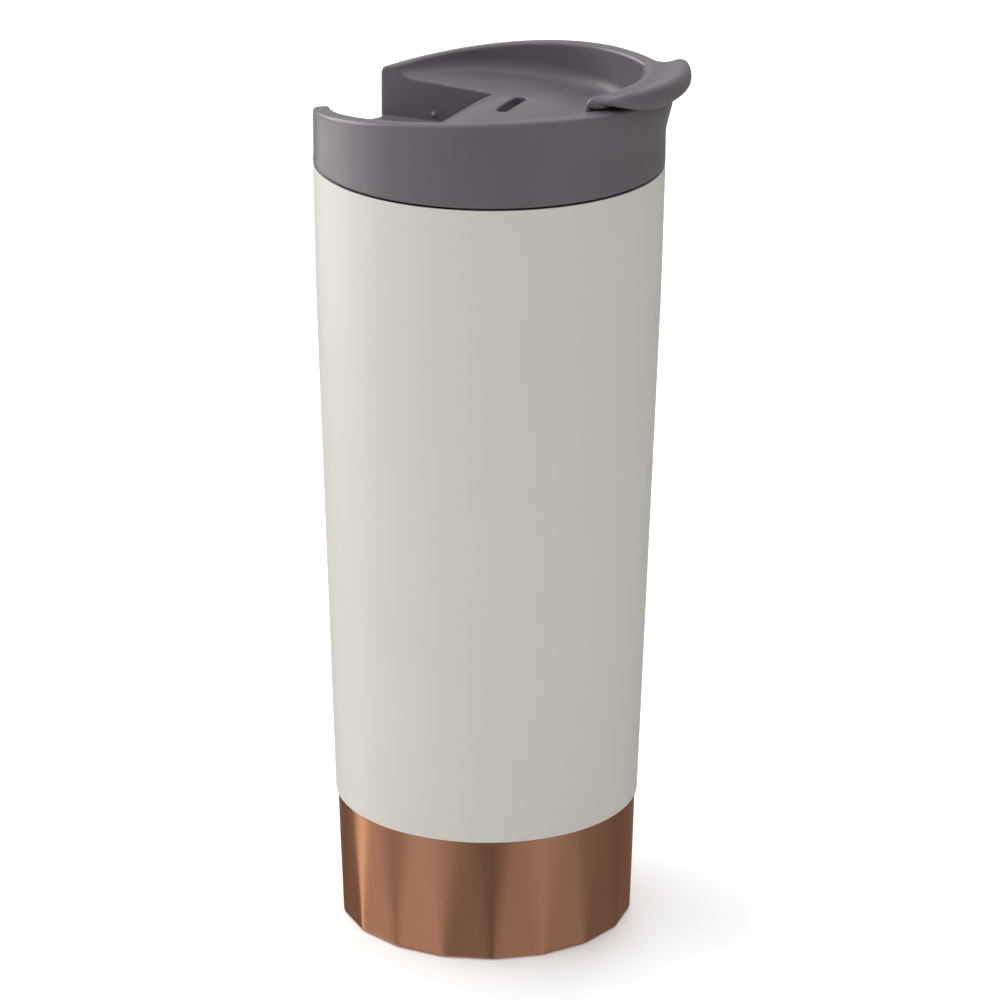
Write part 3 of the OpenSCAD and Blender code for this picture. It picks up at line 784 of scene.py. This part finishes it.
def build_floor():
    mesh = bpy.data.meshes.new("studio_floor")
    bm = bmesh.new()
    bmesh.ops.create_circle(bm, cap_ends=True, segments=96, radius=FLOOR_R)
    bm.to_mesh(mesh)
    bm.free()
    floor = bpy.data.objects.new("studio_floor", mesh)
    bpy.context.scene.collection.objects.link(floor)
    mat = bpy.data.materials.new("pale_floor")
    mat.use_nodes = True
    nodes, links = mat.node_tree.nodes, mat.node_tree.links
    shader = nodes["Principled BSDF"]
    shader.inputs["Base Color"].default_value = (0.9, 0.9, 0.9, 1)
    shader.inputs["Roughness"].default_value = 0.9
    shader.inputs["Specular IOR Level"].default_value = 0.1
    # A little glow that lights nothing, so that the floor runs out into the white
    shader.inputs["Emission Color"].default_value = (FLOOR_GLOW, FLOOR_GLOW, FLOOR_GLOW, 1)
    path = nodes.new("ShaderNodeLightPath")
    links.new(path.outputs["Is Camera Ray"], shader.inputs["Emission Strength"])
    mesh.materials.append(mat)
    floor.visible_glossy = False


VIEW_TURN = 22.858             # degrees that the camera stands round towards the spout
VIEW_DROP = 19.915             # degrees that it looks down
VIEW_ROLL = 0.289
VIEW_PLACE = Vector((0.4440, -1.0460, 0.5124))  # metres
LENS = 188.9                   # millimetres, for a sensor 36 wide
OVERHEAD = 0.75                # brightness of the studio straight above


def build_world():
    """A studio as a sky, with soft bright and dark parts all round and a top light."""
    world = bpy.data.worlds.new("studio")
    bpy.context.scene.world = world
    world.use_nodes = True
    nodes, links = world.node_tree.nodes, world.node_tree.links
    nodes.clear()
    place = nodes.new("ShaderNodeTexCoord")
    turned = nodes.new("ShaderNodeMapping")
    turned.inputs["Rotation"].default_value[2] = math.radians(90 - VIEW_TURN)
    links.new(place.outputs["Generated"], turned.inputs["Vector"])
    split = nodes.new("ShaderNodeSeparateXYZ")
    links.new(turned.outputs["Vector"], split.inputs["Vector"])
    around = nodes.new("ShaderNodeMath")
    around.operation = "ARCTAN2"
    links.new(split.outputs["Y"], around.inputs[0])
    links.new(split.outputs["X"], around.inputs[1])
    share = nodes.new("ShaderNodeMapRange")
    share.inputs["From Min"].default_value = -math.pi
    share.inputs["From Max"].default_value = math.pi
    links.new(around.outputs[0], share.inputs["Value"])
    # Degrees round from the camera, negative to its left, and how bright it is there
    low = [(-180, 0.3), (-150, 0.22), (-128, 0.3), (-115, 1.3), (-102, 0.6), (-75, 0.36),
           (-55, 0.62), (-35, 0.5), (-15, 0.27), (5, 0.18), (25, 0.42), (45, 0.5),
           (65, 0.4), (85, 0.28), (125, 0.2), (160, 0.25), (180, 0.3)]
    high = [(-180, 0.42), (-130, 0.65), (-105, 0.7), (-60, 0.6), (0, 0.45), (60, 0.3),
            (105, 0.22), (130, 0.32), (180, 0.42)]
    scale = 4                  # a colour stop holds up to 1

    def studio_wall(lights):
        made = nodes.new("ShaderNodeValToRGB")
        links.new(share.outputs["Result"], made.inputs["Fac"])
        stops = made.color_ramp.elements
        while len(stops) < len(lights):
            stops.new(0.5)
        for stop, (angle, level) in zip(stops, lights):
            stop.position = (angle + 180) / 360
            stop.color = (level / scale, level / scale, level / scale, 1)
        return made.outputs["Color"]

    def blended(low_colour, high_colour, start, end):
        """Goes from one colour to the other as the direction rises from start to end.
        A high colour of None is the light straight above."""
        rise = nodes.new("ShaderNodeMapRange")
        rise.inputs["From Min"].default_value = start
        rise.inputs["From Max"].default_value = end
        links.new(split.outputs["Z"], rise.inputs["Value"])
        made = nodes.new("ShaderNodeMix")
        made.data_type = "RGBA"
        links.new(rise.outputs["Result"], made.inputs[0])
        links.new(low_colour, made.inputs[MIX_FIRST])
        if high_colour is None:
            made.inputs[MIX_SECOND].default_value = (OVERHEAD / scale,) * 3 + (1,)
        else:
            links.new(high_colour, made.inputs[MIX_SECOND])
        return made.outputs[MIX_RESULT]

    # The heights are those of a unit direction: 0 is level and 1 is straight up
    walls = blended(studio_wall(low), studio_wall(high), -0.1, 0.15)
    everywhere = blended(walls, None, 0.6, 0.9)
    light = nodes.new("ShaderNodeBackground")
    light.inputs["Strength"].default_value = scale
    links.new(everywhere, light.inputs["Color"])
    white = nodes.new("ShaderNodeBackground")
    white.inputs["Color"].default_value = (1, 1, 1, 1)
    path = nodes.new("ShaderNodeLightPath")
    seen = nodes.new("ShaderNodeMixShader")
    links.new(path.outputs["Is Camera Ray"], seen.inputs[0])
    links.new(light.outputs[0], seen.inputs[1])
    links.new(white.outputs[0], seen.inputs[2])
    out = nodes.new("ShaderNodeOutputWorld")
    links.new(seen.outputs[0], out.inputs["Surface"])


def studio_direction(angle, height):
    """Unit vector to a place in the studio; the angle is counted from the camera."""
    turn = math.radians(angle + VIEW_TURN - 90)
    lift = math.radians(height)
    return Vector((math.cos(turn) * math.cos(lift), math.sin(turn) * math.cos(lift),
                   math.sin(lift)))


def build_light(name, angle, height, distance, size, power):
    """A soft panel that faces the tumbler's middle; degrees, metres and watts."""
    aim = Vector((0, 0, MOUTH_Z * MM / 2))
    data = bpy.data.lights.new(name, "AREA")
    data.shape = "RECTANGLE"
    data.size, data.size_y = size
    data.energy = power
    light = bpy.data.objects.new(name, data)
    bpy.context.scene.collection.objects.link(light)
    toward = studio_direction(angle, height)
    light.location = aim + toward * distance
    light.rotation_euler = toward.to_track_quat("Z", "Y").to_euler()
    light.visible_camera = False
    return light


def build_lights():
    # Three soft lights for the tones and two panels that only show as a sheen
    for name, angle, height, distance, size, power in (
            ("key_light", -100, 55, 1.5, (1.4, 1.4), 11),
            ("back_light", 170, 45, 1.5, (0.7, 0.7), 7),
            ("top_fill", 0, 89, 1.8, (2.4, 2.4), 9)):
        soft = build_light(name, angle, height, distance, size, power)
        soft.visible_glossy = False
    for name, angle, height, distance, size, power in (
            ("left_sheen", -115, 20, 1.3, (1.3, 0.9), 13),
            ("low_sheen", -108, -5.6, 0.42, (0.62, 0.1), 0.27)):
        sheen = build_light(name, angle, height, distance, size, power)
        sheen.visible_diffuse = False


def build_camera():
    turn, drop, roll = (math.radians(a) for a in (VIEW_TURN, VIEW_DROP, VIEW_ROLL))
    ahead = Vector((-math.sin(turn) * math.cos(drop), math.cos(turn) * math.cos(drop),
                    -math.sin(drop)))
    level = Vector((math.cos(turn), math.sin(turn), 0))
    upward = level.cross(ahead)
    right = level * math.cos(roll) + upward * math.sin(roll)
    up = upward * math.cos(roll) - level * math.sin(roll)
    camera = bpy.data.objects.new("camera", bpy.data.cameras.new("camera"))
    bpy.context.scene.collection.objects.link(camera)
    camera.data.lens = LENS
    camera.data.sensor_width = 36
    camera.data.clip_start = 0.05
    axes = Matrix((right, up, -ahead)).transposed()
    camera.matrix_world = Matrix.Translation(VIEW_PLACE) @ axes.to_4x4()
    bpy.context.scene.camera = camera


build_floor()
build_world()
build_lights()
build_camera()
bpy.context.scene.view_settings.view_transform = "Standard"
